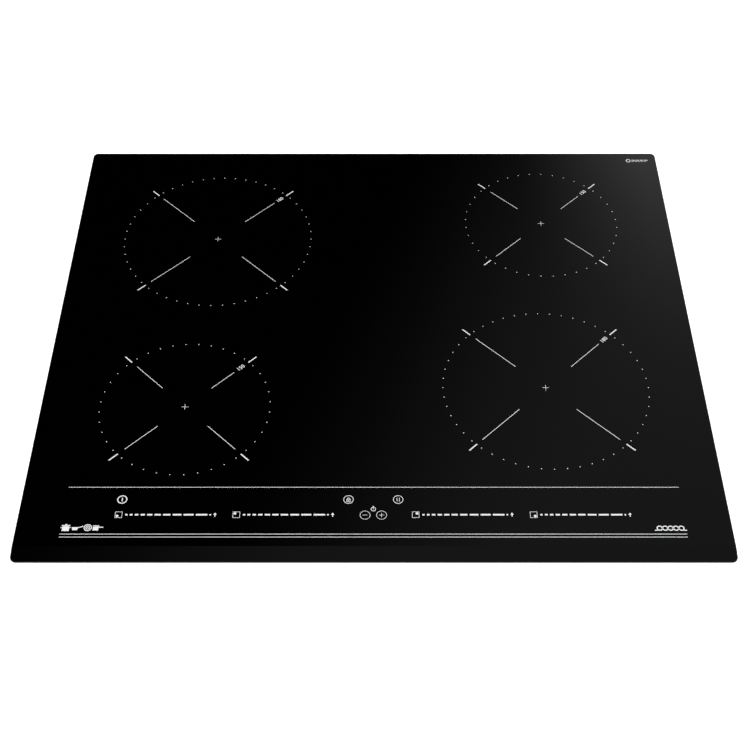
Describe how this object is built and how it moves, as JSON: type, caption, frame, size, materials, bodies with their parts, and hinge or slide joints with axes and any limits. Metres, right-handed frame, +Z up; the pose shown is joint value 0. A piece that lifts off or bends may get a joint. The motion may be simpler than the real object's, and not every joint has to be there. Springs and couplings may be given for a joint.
{
  "type": "induction hob",
  "caption": "Built-in induction hob with a black glass top, printed cooking zones and touch control, a vented steel base tray and worktop clamps.",
  "frame": {"origin": "centre of the plan, at the underside of the base tray", "axes": "+X to the user's right, +Y towards the wall behind the hob, +Z up"},
  "size_m": [0.6, 0.52, 0.056],
  "materials": {
    "black_glass_ceramic": "polished, opaque black glass-ceramic",
    "white_enamel_print": "pale ceramic ink fired onto the glass",
    "foam_tape": "closed-cell sealing foam",
    "silicone": "cured silicone bead",
    "galvanised_sheet": "galvanised sheet steel, fine spangle",
    "rail_steel": "folded zinc-coated steel",
    "zinc_fastener": "zinc-plated fastener",
    "clamp_steel": "pressed zinc-plated steel",
    "copper_litz": "enamelled copper litz",
    "former_plastic": "glass-filled black plastic",
    "ferrite": "sintered ferrite",
    "mica": "pressed mica sheet",
    "sensor_ceramic": "white ceramic sensor with thin leads",
    "silicone_wire": "white silicone-insulated wire",
    "plate_aluminium": "rolled aluminium plate",
    "spring_steel": "drawn spring wire",
    "natural_nylon": "natural nylon post",
    "fan_plastic": "black moulded fan plastic",
    "motor_metal": "dark painted motor core",
    "shaft_steel": "ground steel shaft",
    "circuit_board": "solder-masked glass-fibre board",
    "heatsink_aluminium": "extruded aluminium",
    "chip_black": "moulded component body",
    "capacitor_yellow": "moulded film capacitor box",
    "capacitor_sleeve": "sleeved aluminium can",
    "relay_body": "moulded relay and transformer bodies",
    "terminal_plastic": "flame-retardant black plastic",
    "block_plastic": "pale terminal block plastic",
    "terminal_brass": "turned brass",
    "fuse_glass": "glass fuse in plated clips",
    "choke_copper": "enamelled copper wire",
    "wire_brown": "brown insulated wire",
    "wire_green": "green earth wire with its lug",
    "sensor_foam": "conductive foam",
    "display_face": "dark filtered display",
    "ribbon_grey": "grey ribbon cable"
  },
  "bodies": {
    "hob_body": {"base_tray": "galvanised_sheet", "cable_inlet": "terminal_plastic", "can_capacitors": "capacitor_sleeve", "carrier_springs": "spring_steel", "choke_core": "ferrite", "choke_winding": "choke_copper", "clamp_brackets": "clamp_steel", "coil_carriers": "plate_aluminium", "coil_former_front_left": "former_plastic", "coil_former_front_right": "former_plastic", "coil_former_rear_left": "former_plastic", "coil_former_rear_right": "former_plastic", "coil_leads": "silicone_wire", "coil_sensors": "sensor_ceramic", "coil_winding_front_left": "copper_litz", "coil_winding_front_right": "copper_litz", "coil_winding_rear_left": "copper_litz", "coil_winding_rear_right": "copper_litz", "control_board": "circuit_board", "control_carrier": "former_plastic", "cord_clamp": "block_plastic", "earth_wire": "wire_green", "fan_housings": "fan_plastic", "fan_motors": "motor_metal", "ferrite_bars": "ferrite", "film_capacitors": "capacitor_yellow", "filter_board": "circuit_board", "floor_posts": "natural_nylon", "glass_adhesive": "silicone", "glass_plate": "black_glass_ceramic", "heatsinks": "heatsink_aluminium", "led_displays": "display_face", "mains_fuse": "fuse_glass", "mains_wires": "wire_brown", "mica_discs": "mica", "power_boards": "circuit_board", "power_transistors": "chip_black", "ribbon_cable": "ribbon_grey", "sealing_tape": "foam_tape", "support_rails": "rail_steel", "switching_relays": "relay_body", "terminal_block": "block_plastic", "terminal_box": "terminal_plastic", "terminal_screws": "terminal_brass", "touch_pads": "sensor_foam", "tray_screws": "zinc_fastener"},
    "clamp_screw_front_left": {"clamp_screw_front_left": "zinc_fastener"},
    "clamp_arm_front_left": {"clamp_arm_front_left": "clamp_steel"},
    "clamp_screw_front_right": {"clamp_screw_front_right": "zinc_fastener"},
    "clamp_arm_front_right": {"clamp_arm_front_right": "clamp_steel"},
    "clamp_screw_rear_left": {"clamp_screw_rear_left": "zinc_fastener"},
    "clamp_arm_rear_left": {"clamp_arm_rear_left": "clamp_steel"},
    "clamp_screw_rear_right": {"clamp_screw_rear_right": "zinc_fastener"},
    "clamp_arm_rear_right": {"clamp_arm_rear_right": "clamp_steel"},
    "fan_left": {"fan_wheel_left": "fan_plastic", "fan_shaft_left": "shaft_steel"},
    "fan_right": {"fan_wheel_right": "fan_plastic", "fan_shaft_right": "shaft_steel"},
    "terminal_flap": {"terminal_flap": "terminal_plastic"}
  },
  "joints": [
    {"name": "clamp_lift_front_left", "type": "slide", "parent": "hob_body", "child": "clamp_screw_front_left", "axis": [0, 0, 1], "range_m": [0, 0.016]},
    {"name": "clamp_swing_front_left", "type": "hinge", "parent": "clamp_screw_front_left", "child": "clamp_arm_front_left", "pos_m": [-0.2725, -0.15, 0.006], "axis": [0, 0, 1], "range_deg": [0, 90]},
    {"name": "clamp_lift_front_right", "type": "slide", "parent": "hob_body", "child": "clamp_screw_front_right", "axis": [0, 0, 1], "range_m": [0, 0.016]},
    {"name": "clamp_swing_front_right", "type": "hinge", "parent": "clamp_screw_front_right", "child": "clamp_arm_front_right", "pos_m": [0.2725, -0.15, 0.006], "axis": [0, 0, -1], "range_deg": [0, 90]},
    {"name": "clamp_lift_rear_left", "type": "slide", "parent": "hob_body", "child": "clamp_screw_rear_left", "axis": [0, 0, 1], "range_m": [0, 0.016]},
    {"name": "clamp_swing_rear_left", "type": "hinge", "parent": "clamp_screw_rear_left", "child": "clamp_arm_rear_left", "pos_m": [-0.2725, 0.15, 0.006], "axis": [0, 0, -1], "range_deg": [0, 90]},
    {"name": "clamp_lift_rear_right", "type": "slide", "parent": "hob_body", "child": "clamp_screw_rear_right", "axis": [0, 0, 1], "range_m": [0, 0.016]},
    {"name": "clamp_swing_rear_right", "type": "hinge", "parent": "clamp_screw_rear_right", "child": "clamp_arm_rear_right", "pos_m": [0.2725, 0.15, 0.006], "axis": [0, 0, 1], "range_deg": [0, 90]},
    {"name": "fan_spin_left", "type": "hinge", "parent": "hob_body", "child": "fan_left", "pos_m": [-0.15, 0.166, 0.018], "axis": [0, 0, 1], "continuous": true},
    {"name": "fan_spin_right", "type": "hinge", "parent": "hob_body", "child": "fan_right", "pos_m": [0.15, 0.166, 0.018], "axis": [0, 0, 1], "continuous": true},
    {"name": "terminal_flap_hinge", "type": "hinge", "parent": "hob_body", "child": "terminal_flap", "pos_m": [-0.021, 0.2406, 0.006], "axis": [-1, 0, 0], "range_deg": [0, 90]}
  ]
}
